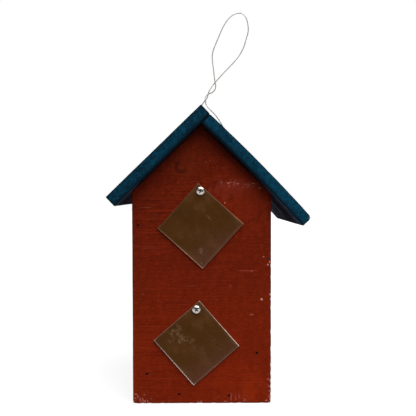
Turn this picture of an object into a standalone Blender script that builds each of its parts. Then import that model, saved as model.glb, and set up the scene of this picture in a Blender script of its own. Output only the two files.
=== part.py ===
"""Two-storey wooden birdhouse with a gable roof, two swinging cover plates and a wire hanger.

Metres, +Z up. The origin is the centre of the base, and the front faces -Y.
Outlines are drawn in the XZ plane, as seen from the front, and run front to back along Y.
"""
import math

import bmesh
import bpy
from mathutils import Matrix, Vector

MM = 0.001
GAP = 0.3 * MM                      # clearance between pieces that touch

# Boards
PANEL_WIDTH = 142 * MM              # front and back panels
PANEL_THICKNESS = 11.5 * MM
SIDE_THICKNESS = 17 * MM            # sides and floor
SIDE_DEPTH = 155 * MM               # sides, floor and divider, front to back
DIVIDER_THICKNESS = 11 * MM
DIVIDER_BOTTOM = 118 * MM
ROOF_THICKNESS = 12.7 * MM
ROOF_DEPTH = 210 * MM
ARRIS = 0.7 * MM                    # rounding of the boards' edges
ARRIS_STEPS = 2
ARRIS_ANGLE = math.radians(30)      # edges sharper than this are rounded
SHARP_ANGLE = math.radians(35)      # edges sharper than this stay sharp on round pieces

# Gable and roof: pitches are measured from level, lengths run down from the underside's peak
PEAK_X = -0.5 * MM
PEAK_Z = 286 * MM
LEFT_PITCH = math.radians(44)
RIGHT_PITCH = math.radians(44.65)
LEFT_RUN = 119.8 * MM
RIGHT_RUN = 144.8 * MM
CUP_RADIUS = 1650 * MM              # the right board has cupped, with its crown up
CUP_BEARING = 99 * MM               # stretch of the cupped board that bears on the gable
CUP_STEPS = 10

# Cover plates and their screws
COVER_SIDE = 62 * MM
COVER_THICKNESS = 2 * MM
COVER_STANDOFF = 0.4 * MM
COVER_ARRIS = 0.35 * MM
COVERS = {                          # screw X and Z, drop from screw to centre, lean of the square
    "upper": (-1.1 * MM, 218.5 * MM, 35.9 * MM, math.radians(2.9)),
    "lower": (-5.6 * MM, 97.8 * MM, 35.1 * MM, math.radians(-3.9)),
}
SCREW_RADIUS = 2.1 * MM
SCREW_LENGTH = 19 * MM
SCREW_POINT = 4 * MM
SCREW_HEAD_RADIUS = 4.5 * MM
SCREW_HEAD_RIM = 0.9 * MM
SCREW_HEAD_DOME = 2.0 * MM
SCREW_SEGMENTS = 20
DOME_STEPS = 5
SCREW_TURN = {"upper": math.radians(20), "lower": math.radians(38)}
RECESS_TOP = (2.3 * MM, 0.62 * MM)      # half span and half width of the cross recess at its mouth
RECESS_FLOOR = (1.0 * MM, 0.42 * MM)    # and at its floor
RECESS_DEPTH = 1.9 * MM
ENTRANCE_RADIUS = 16 * MM
ENTRANCE_SEGMENTS = 40

# Nails
NAIL_RADIUS = 0.9 * MM
NAIL_HEAD_RADIUS = 1.35 * MM
NAIL_HEAD_HEIGHT = 0.9 * MM
NAIL_SINK = 0.9 * MM
NAIL_POINT = 3 * MM
NAIL_SEGMENTS = 8
LONG_NAIL = 38 * MM
SHORT_NAIL = 32 * MM
FRONT_NAILS = (                     # X and Z of each head, driven by eye, and the board behind it
    (-65.0 * MM, 183.4 * MM, "left_side"),
    (-60.4 * MM, 113.2 * MM, "left_side"),
    (-56.7 * MM, 30.4 * MM, "left_side"),
    (61.4 * MM, 107.3 * MM, "right_side"),
    (56.6 * MM, 51.7 * MM, "right_side"),
    (-23.6 * MM, 9.4 * MM, "floor_board"),
    (27.7 * MM, 7.6 * MM, "floor_board"),
)
BACK_NAIL_Z = (30 * MM, 110 * MM, 185 * MM)     # into each side
BACK_NAIL_X = 25 * MM               # into the floor, each side of the middle
SIDE_NAIL_Y = 42 * MM               # into the floor and the divider, each side of the middle
ROOF_NAIL_RUNS = (34 * MM, 80 * MM)
RIDGE_NAIL_Y = (-70 * MM, 0, 70 * MM)
OVERCUT = 2 * MM                    # how far a cutter stands out of the surface that it enters

# Hanger wire
WIRE_RADIUS = 0.6 * MM
WIRE_BORE_RADIUS = 1.4 * MM
WIRE_BORE_SEGMENTS = 12
WIRE_BORE_X = 33 * MM
WIRE_BORE_LOW = 245 * MM
WIRE_BORE_HIGH = 280 * MM
WIRE_SAMPLES = 2                    # steps of the smooth curve between two route points

HALF_WIDTH = PANEL_WIDTH / 2
HALF_DEPTH = SIDE_DEPTH / 2
PANEL_INNER = HALF_DEPTH + GAP
PANEL_OUTER = PANEL_INNER + PANEL_THICKNESS
PANEL_MIDDLE = (PANEL_INNER + PANEL_OUTER) / 2
ROOM_HALF_WIDTH = HALF_WIDTH - SIDE_THICKNESS
FRONT_Y = -PANEL_OUTER


def clear_scene():
    for item in list(bpy.data.objects):
        bpy.data.objects.remove(item, do_unlink=True)


def linear(channel):
    """One 0-255 display value as the linear value that a material takes."""
    value = channel / 255
    if value <= 0.04045:
        return value / 12.92
    return ((value + 0.055) / 1.055) ** 2.4


def make_material(name, red, green, blue, roughness, metallic=0.0):
    material = bpy.data.materials.new(name)
    material.use_nodes = True
    shader = material.node_tree.nodes["Principled BSDF"]
    shader.inputs["Base Color"].default_value = (linear(red), linear(green), linear(blue), 1)
    shader.inputs["Roughness"].default_value = roughness
    shader.inputs["Metallic"].default_value = metallic
    return material


def add_object(name, bm, material=None, location=(0, 0, 0)):
    bmesh.ops.recalc_face_normals(bm, faces=bm.faces)
    mesh = bpy.data.meshes.new(name)
    bm.to_mesh(mesh)
    bm.free()
    item = bpy.data.objects.new(name, mesh)
    item.location = location
    if material:
        mesh.materials.append(material)
    bpy.context.scene.collection.objects.link(item)
    return item


def add_prism(bm, outline, low, high):
    """A closed prism: an XZ outline carried from Y = low to Y = high."""
    near = [bm.verts.new((x, low, z)) for x, z in outline]
    far = [bm.verts.new((x, high, z)) for x, z in outline]
    bm.faces.new(near)
    bm.faces.new(list(reversed(far)))
    count = len(outline)
    for i in range(count):
        j = (i + 1) % count
        bm.faces.new((near[j], near[i], far[i], far[j]))


def add_turned(bm, profile, place, segments):
    """A closed turned solid. The profile is (radius, height) pairs and both its ends are on the axis."""
    rings = []
    for radius, height in profile:
        if radius == 0:
            rings.append([bm.verts.new(place @ Vector((0, 0, height)))])
            continue
        ring = []
        for i in range(segments):
            angle = 2 * math.pi * i / segments
            spot = Vector((radius * math.cos(angle), radius * math.sin(angle), height))
            ring.append(bm.verts.new(place @ spot))
        rings.append(ring)
    for first, second in zip(rings, rings[1:]):
        for i in range(segments):
            j = (i + 1) % segments
            corners = [first[i % len(first)], first[j % len(first)]]
            corners += [second[j % len(second)], second[i % len(second)]]
            bm.faces.new(list(dict.fromkeys(corners)))


def along(start, direction):
    """Placement whose local +Z points along a direction from a start point."""
    turn = Vector(direction).to_track_quat("Z", "Y").to_matrix().to_4x4()
    return Matrix.Translation(start) @ turn


def smooth(item):
    item.data.shade_smooth()
    item.data.set_sharp_from_angle(angle=SHARP_ANGLE)


# Cutters: one mesh for each board, gathered while the fasteners are placed
CUTTERS = {}


def cut(board, profile, place, segments):
    if board not in CUTTERS:
        CUTTERS[board] = bmesh.new()
    add_turned(CUTTERS[board], profile, place, segments)


def apply_cutters():
    for board, bm in CUTTERS.items():
        cutter = add_object("cut_" + board, bm)
        cutter.hide_render = True
        cutter.display_type = "WIRE"
        boolean = bpy.data.objects[board].modifiers.new("bores", "BOOLEAN")
        boolean.operation = "DIFFERENCE"
        boolean.solver = "EXACT"
        boolean.object = cutter


def add_board(name, outline, low, high, material):
    bm = bmesh.new()
    add_prism(bm, outline, low, high)
    board = add_object(name, bm, material)
    bevel = board.modifiers.new("arris", "BEVEL")
    bevel.width = ARRIS
    bevel.segments = ARRIS_STEPS
    bevel.limit_method = "ANGLE"
    bevel.angle_limit = ARRIS_ANGLE
    return board


# Roof geometry

def left_roof(run, height):
    """A point of the straight left board: run down its underside, height above it."""
    x = PEAK_X - run * math.cos(LEFT_PITCH) - height * math.sin(LEFT_PITCH)
    z = PEAK_Z - run * math.sin(LEFT_PITCH) + height * math.cos(LEFT_PITCH)
    return x, z


def right_angle(run):
    """Slope of the cupped right board, whose chord over its bearing has the right pitch."""
    return RIGHT_PITCH + (run - CUP_BEARING / 2) / CUP_RADIUS


def right_roof(run, height):
    """A point of the cupped right board: run down its underside, height above it."""
    start = right_angle(0)
    angle = right_angle(run)
    x = PEAK_X + CUP_RADIUS * (math.sin(angle) - math.sin(start)) + height * math.sin(angle)
    z = PEAK_Z + CUP_RADIUS * (math.cos(angle) - math.cos(start)) + height * math.cos(angle)
    return x, z


def under_roof(x):
    """Height of a gable or side board's top edge, just under the roof boards."""
    if x < PEAK_X:
        return PEAK_Z - (PEAK_X - x) * math.tan(LEFT_PITCH) - GAP / math.cos(LEFT_PITCH)
    return PEAK_Z - (x - PEAK_X) * math.tan(RIGHT_PITCH) - GAP / math.cos(RIGHT_PITCH)


RIDGE_ANGLE = LEFT_PITCH + right_angle(0)
RIDGE_OVERLAP = ROOF_THICKNESS / math.sin(RIDGE_ANGLE)


def right_start(height):
    """Run at which the right board's end face stands just clear of the left board's underside."""
    return (GAP + height * math.cos(RIDGE_ANGLE)) / math.sin(RIDGE_ANGLE)


def build_gables(paint):
    """Front and back panels, from the base up to the peak."""
    outline = [
        (-HALF_WIDTH, 0),
        (HALF_WIDTH, 0),
        (HALF_WIDTH, under_roof(HALF_WIDTH)),
        (PEAK_X, under_roof(PEAK_X)),
        (-HALF_WIDTH, under_roof(-HALF_WIDTH)),
    ]
    add_board("front_panel", outline, -PANEL_OUTER, -PANEL_INNER, paint)
    add_board("back_panel", outline, PANEL_INNER, PANEL_OUTER, paint)


def build_walls(paint, bare):
    """Sides between the gables, the floor, and the divider between the two rooms."""
    for name, outer, inner in (
        ("left_side", -HALF_WIDTH, -ROOM_HALF_WIDTH),
        ("right_side", HALF_WIDTH, ROOM_HALF_WIDTH),
    ):
        outline = [(outer, 0), (inner, 0), (inner, under_roof(inner)), (outer, under_roof(outer))]
        add_board(name, outline, -HALF_DEPTH, HALF_DEPTH, paint)
    reach = ROOM_HALF_WIDTH - GAP
    for name, bottom, thickness, material in (
        ("floor_board", 0, SIDE_THICKNESS, paint),
        ("room_divider", DIVIDER_BOTTOM, DIVIDER_THICKNESS, bare),
    ):
        top = bottom + thickness
        outline = [(-reach, bottom), (reach, bottom), (reach, top), (-reach, top)]
        add_board(name, outline, -HALF_DEPTH, HALF_DEPTH, material)


def build_roof(paint):
    """Left board laps over the end of the right board at the ridge."""
    half = ROOF_DEPTH / 2
    outline = [
        left_roof(-RIDGE_OVERLAP, 0),
        left_roof(-RIDGE_OVERLAP, ROOF_THICKNESS),
        left_roof(LEFT_RUN, ROOF_THICKNESS),
        left_roof(LEFT_RUN, 0),
    ]
    add_board("roof_left", outline, -half, half, paint)
    outline = []
    for height, order in ((0, 1), (ROOF_THICKNESS, -1)):
        start = right_start(height)
        edge = []
        for i in range(CUP_STEPS + 1):
            edge.append(right_roof(start + (RIGHT_RUN - start) * i / CUP_STEPS, height))
        outline += edge[::order]
    add_board("roof_right", outline, -half, half, paint)


def build_entrances():
    """Round entrance holes through the front panel, one behind each cover's centre."""
    for x, z, drop, _ in COVERS.values():
        depth = PANEL_THICKNESS + 2 * OVERCUT
        profile = [(0, 0), (ENTRANCE_RADIUS, 0), (ENTRANCE_RADIUS, depth), (0, depth)]
        place = along((x, FRONT_Y - OVERCUT, z - drop), (0, 1, 0))
        cut("front_panel", profile, place, ENTRANCE_SEGMENTS)


def build_cover(name, pin_x, pin_z, drop, lean, material):
    """Square plate that hangs by one corner; its origin is on the screw's axis."""
    half = COVER_SIDE / math.sqrt(2)
    outline = []
    for i in range(4):
        angle = lean + math.pi / 2 * i
        outline.append((half * math.sin(angle), -drop - half * math.cos(angle)))
    back = -COVER_STANDOFF
    bm = bmesh.new()
    add_prism(bm, outline, back - COVER_THICKNESS, back)
    cover = add_object(name, bm, material, (pin_x, FRONT_Y, pin_z))
    bevel = cover.modifiers.new("arris", "BEVEL")
    bevel.width = COVER_ARRIS
    bevel.segments = 1
    bevel.limit_method = "ANGLE"
    bore = SCREW_RADIUS + GAP
    depth = COVER_THICKNESS + COVER_STANDOFF + 2 * OVERCUT
    profile = [(0, 0), (bore, 0), (bore, depth), (0, depth)]
    place = along((pin_x, FRONT_Y - depth + OVERCUT, pin_z), (0, 1, 0))
    cut(name, profile, place, SCREW_SEGMENTS)


def cross_outline(span, width):
    """Twelve corners of a cross, counter-clockwise."""
    corners = []
    for i in range(4):
        turn = Matrix.Rotation(math.pi / 2 * i, 2)
        for corner in ((span, -width), (span, width), (width, width)):
            corners.append(turn @ Vector(corner))
    return corners


def build_screw(name, pin_x, pin_z, turn, material):
    """Pan-head screw with a cross recess. Its head is towards the front."""
    under_head = FRONT_Y - COVER_STANDOFF - COVER_THICKNESS - GAP
    place = along((pin_x, under_head, pin_z), (0, -1, 0))
    top = SCREW_HEAD_RIM + SCREW_HEAD_DOME
    profile = [
        (0, -SCREW_LENGTH),
        (SCREW_RADIUS, SCREW_POINT - SCREW_LENGTH),
        (SCREW_RADIUS, 0),
        (SCREW_HEAD_RADIUS, 0),
    ]
    for i in range(DOME_STEPS):
        angle = math.pi / 2 * i / DOME_STEPS
        radius = SCREW_HEAD_RADIUS * math.cos(angle)
        profile.append((radius, SCREW_HEAD_RIM + SCREW_HEAD_DOME * math.sin(angle)))
    profile.append((0, top))
    bm = bmesh.new()
    add_turned(bm, profile, place, SCREW_SEGMENTS)
    screw = add_object(name, bm, material)
    smooth(screw)

    bm = bmesh.new()
    spin = place @ Matrix.Rotation(turn, 4, "Z")
    rings = []
    for height, (span, width) in ((top + GAP, RECESS_TOP), (top - RECESS_DEPTH, RECESS_FLOOR)):
        ring = []
        for corner in cross_outline(span, width):
            ring.append(bm.verts.new(spin @ Vector((corner.x, corner.y, height))))
        rings.append(ring)
    bm.faces.new(rings[0])
    bm.faces.new(list(reversed(rings[1])))
    corners = len(rings[0])
    for i in range(corners):
        j = (i + 1) % corners
        bm.faces.new((rings[0][j], rings[0][i], rings[1][i], rings[1][j]))
    cutter = add_object("cut_" + name, bm)
    cutter.hide_render = True
    cutter.display_type = "WIRE"
    boolean = screw.modifiers.new("recess", "BOOLEAN")
    boolean.operation = "DIFFERENCE"
    boolean.solver = "EXACT"
    boolean.object = cutter

    bore = SCREW_RADIUS + GAP
    depth = SCREW_LENGTH + OVERCUT
    hole = [(0, 0), (bore, 0), (bore, -depth), (0, -depth)]
    cut("front_panel", hole, place, SCREW_SEGMENTS)


def build_nail(name, start, direction, length, boards, material):
    """Finishing nail, set just below the surface, with its own bore in each board that it joins."""
    place = along(start, direction)
    neck = NAIL_SINK + NAIL_HEAD_HEIGHT
    tip = NAIL_SINK + length
    profile = [
        (0, NAIL_SINK),
        (NAIL_HEAD_RADIUS, NAIL_SINK),
        (NAIL_RADIUS, neck),
        (NAIL_RADIUS, tip - NAIL_POINT),
        (0, tip),
    ]
    bm = bmesh.new()
    add_turned(bm, profile, place, NAIL_SEGMENTS)
    smooth(add_object(name, bm, material))
    bore = NAIL_RADIUS + GAP
    mouth = NAIL_HEAD_RADIUS + GAP
    hole = [
        (0, -OVERCUT),
        (mouth, -OVERCUT),
        (mouth, NAIL_SINK + GAP),
        (bore, neck + GAP),
        (bore, tip),
        (0, tip + GAP),
    ]
    for board in boards:
        cut(board, hole, place, NAIL_SEGMENTS)


def build_nails(material):
    """Every nail is its own object, with its bores in the two boards that it joins."""
    middle = SIDE_THICKNESS / 2
    column = HALF_WIDTH - middle
    for i, (x, z, board) in enumerate(FRONT_NAILS, 1):
        boards = ("front_panel", board)
        build_nail(f"front_nail_{i}", (x, FRONT_Y, z), (0, 1, 0), LONG_NAIL, boards, material)

    back = []
    for z in BACK_NAIL_Z:
        back.append((-column, z, "left_side"))
        back.append((column, z, "right_side"))
    for x in (-BACK_NAIL_X, BACK_NAIL_X):
        back.append((x, middle, "floor_board"))
    for i, (x, z, board) in enumerate(back, 1):
        start = (x, PANEL_OUTER, z)
        build_nail(f"back_nail_{i}", start, (0, -1, 0), LONG_NAIL, ("back_panel", board), material)

    divider_middle = DIVIDER_BOTTOM + DIVIDER_THICKNESS / 2
    for side, sign in (("left", -1), ("right", 1)):
        number = 0
        for z, board in ((middle, "floor_board"), (divider_middle, "room_divider")):
            for y in (-SIDE_NAIL_Y, SIDE_NAIL_Y):
                number += 1
                start = (sign * HALF_WIDTH, y, z)
                boards = (side + "_side", board)
                build_nail(f"{side}_nail_{number}", start, (-sign, 0, 0), LONG_NAIL, boards, material)

    for side, roof in (("left", left_roof), ("right", right_roof)):
        number = 0
        for run in ROOF_NAIL_RUNS:
            low_x, low_z = roof(run, 0)
            top_x, top_z = roof(run, ROOF_THICKNESS)
            inward = (low_x - top_x, 0, low_z - top_z)
            for y, panel in ((-PANEL_MIDDLE, "front_panel"), (PANEL_MIDDLE, "back_panel")):
                number += 1
                boards = ("roof_" + side, panel)
                name = f"roof_{side}_nail_{number}"
                build_nail(name, (top_x, y, top_z), inward, SHORT_NAIL, boards, material)

    lap = -RIDGE_OVERLAP / 2
    low_x, low_z = left_roof(lap, 0)
    top_x, top_z = left_roof(lap, ROOF_THICKNESS)
    inward = (low_x - top_x, 0, low_z - top_z)
    for i, y in enumerate(RIDGE_NAIL_Y, 1):
        boards = ("roof_left", "roof_right")
        build_nail(f"ridge_nail_{i}", (top_x, y, top_z), inward, SHORT_NAIL, boards, material)


def smooth_route(points, samples):
    """Centripetal Catmull-Rom curve through the route's points."""
    route = [Vector(p) * MM for p in points]
    ends = [2 * route[0] - route[1]] + route + [2 * route[-1] - route[-2]]
    curve = [route[0]]
    for a, b, c, d in zip(ends, ends[1:], ends[2:], ends[3:]):
        ab = math.sqrt((b - a).length)
        bc = math.sqrt((c - b).length)
        cd = math.sqrt((d - c).length)
        leave = (b - a) / ab - (c - a) / (ab + bc) + (c - b) / bc
        arrive = (c - b) / bc - (d - b) / (bc + cd) + (d - c) / cd
        leave *= bc
        arrive *= bc
        for i in range(1, samples + 1):
            t = i / samples
            curve.append(
                b * (2 * t ** 3 - 3 * t ** 2 + 1)
                + leave * (t ** 3 - 2 * t ** 2 + t)
                + c * (3 * t ** 2 - 2 * t ** 3)
                + arrive * (t ** 3 - t ** 2)
            )
    return curve


# Route of the hanger wire in millimetres, from its left end inside the roof to its right end.
# Its legs straddle the ridge, twist one and a half turns, and open into the hanging loop.
WIRE_ROUTE = (
    (-46.0, 0.0, 239.4), (-40.0, 0.0, 245.1), (-35.4, 0.0, 249.6), (-33.2, 0.0, 253.4),
    (-33.0, 0.0, 259.0), (-33.0, 0.0, 269.0), (-32.6, 0.0, 275.6), (-28.8, 0.0, 284.2),
    (-21.5, 0.0, 293.6), (-12.5, 0.0, 303.6), (-5.5, 0.0, 310.9), (0.1, -0.3, 316.7),
    (3.2, -0.9, 320.8), (4.9, -1.3, 323.2), (5.0, 0.0, 326.4), (8.4, 1.3, 330.3),
    (13.0, 0.7, 332.3), (16.2, 0.0, 335.5), (16.9, -0.7, 339.8), (16.1, -1.3, 343.9),
    (14.4, -0.7, 358.0), (13.0, 0.0, 372.8), (14.0, 0.0, 379.2), (19.1, 0.0, 392.0),
    (26.8, 0.0, 408.9), (33.8, 0.0, 417.9), (40.2, 0.0, 421.6), (46.6, 0.0, 421.9),
    (51.0, 0.0, 418.2), (53.6, 0.0, 411.1), (54.3, 0.0, 402.0), (52.2, 0.0, 393.5),
    (49.0, 0.0, 383.4), (44.3, 0.0, 374.4), (36.6, 0.0, 365.1), (25.4, 0.5, 353.6),
    (16.5, 1.3, 343.8), (12.0, 0.3, 338.0), (8.8, -1.3, 331.9), (7.5, 0.0, 326.8),
    (5.3, 1.3, 322.9), (5.4, 0.8, 319.6), (7.4, 0.2, 315.5), (10.6, 0.0, 312.3),
    (14.4, 0.0, 308.5), (17.4, 0.0, 305.1), (22.3, 0.0, 298.0), (26.9, 0.0, 290.0),
    (30.8, 0.0, 281.6), (32.7, 0.0, 274.6), (33.0, 0.0, 268.0), (33.0, 0.0, 259.0),
    (33.3, 0.0, 253.6), (35.6, 0.0, 249.6), (40.4, 0.0, 245.0), (46.5, 0.0, 239.2),
)


def build_wire(material):
    """Stiff galvanised wire, formed once and standing by itself above the ridge."""
    points = smooth_route(WIRE_ROUTE, WIRE_SAMPLES)
    curve = bpy.data.curves.new("hanger_wire", "CURVE")
    curve.dimensions = "3D"
    curve.bevel_depth = WIRE_RADIUS
    curve.bevel_resolution = 2
    curve.use_fill_caps = True
    spline = curve.splines.new("POLY")
    spline.points.add(len(points) - 1)
    for point, place in zip(spline.points, points):
        point.co = (*place, 1)
    spline.use_smooth = True
    curve.materials.append(material)
    wire = bpy.data.objects.new("hanger_wire", curve)
    bpy.context.scene.collection.objects.link(wire)
    for sign, board in ((-1, "roof_left"), (1, "roof_right")):
        bore = [
            (0, WIRE_BORE_LOW),
            (WIRE_BORE_RADIUS, WIRE_BORE_LOW),
            (WIRE_BORE_RADIUS, WIRE_BORE_HIGH),
            (0, WIRE_BORE_HIGH),
        ]
        place = Matrix.Translation((sign * WIRE_BORE_X, 0, 0))
        cut(board, bore, place, WIRE_BORE_SEGMENTS)


def build():
    clear_scene()
    red = make_material("red_paint", 112, 30, 10, 0.6)
    blue = make_material("blue_paint", 8, 48, 66, 0.6)
    brown = make_material("brown_plate", 78, 48, 28, 0.3, 0.4)
    bare = make_material("bare_wood", 176, 140, 98, 0.75)
    zinc = make_material("zinc_screw", 205, 203, 198, 0.25, 1.0)
    wire = make_material("galvanised_wire", 150, 150, 147, 0.4, 1.0)
    nail = make_material("nail_steel", 70, 64, 60, 0.5, 1.0)
    build_gables(red)
    build_walls(red, bare)
    build_roof(blue)
    build_entrances()
    for level, (pin_x, pin_z, drop, lean) in COVERS.items():
        build_cover(level + "_cover", pin_x, pin_z, drop, lean, brown)
        build_screw(level + "_screw", pin_x, pin_z, SCREW_TURN[level], zinc)
    build_nails(nail)
    build_wire(wire)
    apply_cutters()


build()
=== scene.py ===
"""Looks of the two-storey birdhouse: weathered boards, glossy cover plates, screws, nails and wire.

Metres, +Z up, front towards -Y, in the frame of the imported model. Each board is a fine closed
grid in the board's own flat coordinates (p across, y front to back, q up or through). It is
rounded, worn and chipped there, then placed in the frame, where its bores are cut.
"""

import random
from math import cos, pi, radians, sin, sqrt, tan

import bmesh
import bpy
import numpy as np
from mathutils import Matrix, Vector, noise


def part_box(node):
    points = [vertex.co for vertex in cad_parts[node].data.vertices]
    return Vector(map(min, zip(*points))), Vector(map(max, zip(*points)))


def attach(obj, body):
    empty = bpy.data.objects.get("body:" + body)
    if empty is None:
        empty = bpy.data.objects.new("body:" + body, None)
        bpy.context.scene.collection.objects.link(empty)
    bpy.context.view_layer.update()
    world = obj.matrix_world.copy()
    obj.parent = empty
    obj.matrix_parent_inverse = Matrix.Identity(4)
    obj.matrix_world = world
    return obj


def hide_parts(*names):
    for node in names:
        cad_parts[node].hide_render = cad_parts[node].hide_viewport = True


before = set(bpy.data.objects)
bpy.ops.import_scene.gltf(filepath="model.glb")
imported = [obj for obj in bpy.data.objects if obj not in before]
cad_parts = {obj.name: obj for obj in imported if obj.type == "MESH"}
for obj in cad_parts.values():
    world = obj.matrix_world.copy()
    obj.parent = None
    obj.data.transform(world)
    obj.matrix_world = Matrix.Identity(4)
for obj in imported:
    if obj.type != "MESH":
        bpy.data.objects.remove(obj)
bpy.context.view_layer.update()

MM = 0.001

# The gable and roof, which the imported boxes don't tell
PEAK_X = -0.5 * MM
PEAK_Z = 286 * MM
LEFT_PITCH = radians(44)
RIGHT_PITCH = radians(44.65)
LEFT_RUN = 119.8 * MM
RIGHT_RUN = 144.8 * MM
CUP_RADIUS = 1650 * MM
CUP_BEARING = 99 * MM
ROOF_THICKNESS = 12.7 * MM      # as packed; the two worn boards differ a little
LEFT_THICKNESS = 13.2 * MM
RIGHT_THICKNESS = 12.4 * MM
TOP_CHIP_RUN = 111.5 * MM       # of a pale chip down the right board's top arris
GAP = 0.3 * MM
RIGHT_START_ANGLE = RIGHT_PITCH - CUP_BEARING / 2 / CUP_RADIUS
RIDGE_ANGLE = LEFT_PITCH + RIGHT_START_ANGLE
RIDGE_OVERLAP = ROOF_THICKNESS / sin(RIDGE_ANGLE)

# Cover plates, entrances and fasteners
COVER_SIDE = 62 * MM
COVER_CORNER_UP = radians(45)
COVER_LEAN = {"upper_cover": radians(2.9), "lower_cover": radians(-3.9)}
ENTRANCE_RADIUS = 16 * MM
SCREW_TURN = {"upper_screw": radians(20), "lower_screw": radians(38)}
SCREW_RADIUS = 2.1 * MM
SCREW_HEAD_RADIUS = 4.5 * MM
SCREW_HEAD_HEIGHT = 2.9 * MM
SCREW_DOME_HEIGHT = 2.0 * MM
SCREW_PLAIN_SHANK = 4.5 * MM
SCREW_THREAD_END = 20.5 * MM
NAIL_RADIUS = 0.9 * MM
NAIL_HEAD_RADIUS = 1.25 * MM
WIRE_RADIUS = 0.6 * MM
WIRE_BORE_X = 33 * MM
WIRE_BORE_RADIUS = 1.4 * MM
WIRE_BORE_ENDS = (245 * MM, 280 * MM)       # well below and above the roof boards

# Painted shade: red paint darker under the eaves and lighter towards the foot and the right
RED_PAINTED_SHADE = (0.104, 0.0088, 0.0012, 1)
RED_PAINTED_LIGHT = (0.168, 0.0122, 0.0012, 1)
PAINTED_SHADE_REACH = (-275 * MM, 30 * MM)

# Studio
KEY_STRENGTH = 4.2
KEY_SPREAD = radians(75)
KEY_ELEVATION = radians(58)
KEY_AZIMUTH = radians(20)
SURROUND_BELOW = 0.21
SURROUND_ABOVE = 0.45
FLOOR_RADIUS = 8
FLOOR_DROP = 0.3 * MM           # clears the feet's own roughness
FLOOR_GLOW = 0.74               # meets the white surround without a line

# The camera stands about level with the upper screw and looks slightly down
CAMERA_LENS = 56.385
CAMERA_SENSOR = 36
CAMERA_SHIFT = (0.0112, 0.0223)
CAMERA_PLACE = (-3.15 * MM, -753.24 * MM, 214.19 * MM)
CAMERA_PITCH = radians(-1.951)
CAMERA_YAW = radians(-0.422)
CAMERA_ROLL = radians(0.121)

PANEL_LOW, PANEL_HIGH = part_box("front_panel")
FRONT_Y = PANEL_LOW.y
HALF_WIDTH = PANEL_HIGH.x
PEAK_TOP = PANEL_HIGH.z


# ---------------------------------------------------------------- shader graphs

def tone(red, green, blue):
    """A 0-255 display colour as the linear colour that a socket takes."""
    linear = []
    for channel in (red, green, blue):
        value = channel / 255
        if value <= 0.04045:
            linear.append(value / 12.92)
        else:
            linear.append(((value + 0.055) / 1.055) ** 2.4)
    return (*linear, 1)


class Value:
    """A shader node's output, which takes part in sums as a number does."""

    def __init__(self, graph, socket):
        self.graph = graph
        self.socket = socket

    def math(self, operation, *others):
        return self.graph.add("Math", dict(enumerate((self, *others))), operation=operation)

    def __add__(self, other):
        return self.math("ADD", other)

    def __sub__(self, other):
        return self.math("SUBTRACT", other)

    def __mul__(self, other):
        return self.math("MULTIPLY", other)

    def __abs__(self):
        return self.math("ABSOLUTE")

    def most(self, other):
        return self.math("MAXIMUM", other)

    def ramp(self, low, high, start=0.0, end=1.0):
        """Smooth step of this value from low to high, giving start to end."""
        inputs = {"Value": self, "From Min": low, "From Max": high, "To Min": start, "To Max": end}
        return self.graph.add("MapRange", inputs, "Result", interpolation_type="SMOOTHSTEP")

    def scaled(self, x, y, z):
        return self.graph.add("VectorMath", {0: self, 1: (x, y, z)}, operation="MULTIPLY")

    def shifted(self, x, y, z):
        return self.graph.add("VectorMath", {0: self, 1: (x, y, z)}, operation="ADD")

    def length(self):
        return self.graph.add("VectorMath", {0: self}, "Value", operation="LENGTH")

    def part(self, axis):
        return self.graph.add("SeparateXYZ", {0: self}, axis)

    def noise(self, x, y, z, detail=3, roughness=0.6, distortion=0.0):
        """Noise over this vector scaled by x, y and z."""
        inputs = {"Vector": self.scaled(x, y, z), "Scale": 1, "Detail": detail}
        inputs.update({"Roughness": roughness, "Distortion": distortion})
        return self.graph.add("TexNoise", inputs, "Fac")

    def cells(self, x, y, z):
        """Distance to the middle of the nearest random cell, over this vector scaled by x, y and z."""
        return self.graph.add("TexVoronoi", {"Vector": self.scaled(x, y, z), "Scale": 1}, "Distance")

    def spot(self, x, z, half_x, half_z, ragged=None):
        """1 inside a soft ellipse round (x, z) in mm, whatever this place's Y is, and 0 outside."""
        near = self.shifted(-x * MM, 0, -z * MM)
        reach = near.scaled(1 / (half_x * MM), 0, 1 / (half_z * MM)).length()
        if ragged:
            reach = reach + ragged
        return reach.ramp(0.55, 1.15, 1, 0)


class Graph:
    """The nodes of a material or world. It keeps the colour that has been laid so far."""

    def __init__(self, owner, shader="Principled BSDF"):
        self.owner = owner
        owner.use_nodes = True
        self.tree = owner.node_tree
        self.shader = self.tree.nodes[shader]
        self.colour = None

    def feed(self, socket, value):
        if isinstance(value, Value):
            self.tree.links.new(value.socket, socket)
        else:
            socket.default_value = value

    def add(self, kind, inputs, output=0, **settings):
        """One output of a new node whose settings are made and whose inputs are fed."""
        node = self.tree.nodes.new("ShaderNode" + kind)
        for setting, value in settings.items():
            setattr(node, setting, value)
        for key, value in inputs.items():
            self.feed(node.inputs[key], value)
        return Value(self, node.outputs[output])

    def number(self, name):
        return self.add("Attribute", {}, "Fac", attribute_name=name)

    def vector(self, name):
        return self.add("Attribute", {}, "Vector", attribute_name=name)

    def mix(self, factor, a, b):
        return self.add("Mix", {"Factor": factor, 6: a, 7: b}, 2, data_type="RGBA")

    def lay(self, mask, colour):
        """Covers the colour so far with another where the mask is 1."""
        self.colour = self.mix(mask, self.colour, colour)

    def finish(self, roughness, height=None, relief=0.0, metallic=0.0, specular=0.5):
        """Feeds the shader, with a height from about 0 to 1 as a bump of the given relief."""
        values = {"Base Color": self.colour, "Roughness": roughness, "Metallic": metallic}
        values["Specular IOR Level"] = specular
        if height:
            bump = {"Strength": 1, "Distance": relief, "Height": height}
            values["Normal"] = self.add("Bump", bump, "Normal")
        for name, value in values.items():
            self.feed(self.shader.inputs[name], value)
        return self.owner


def material_graph(name):
    return Graph(bpy.data.materials.new(name))


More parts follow.
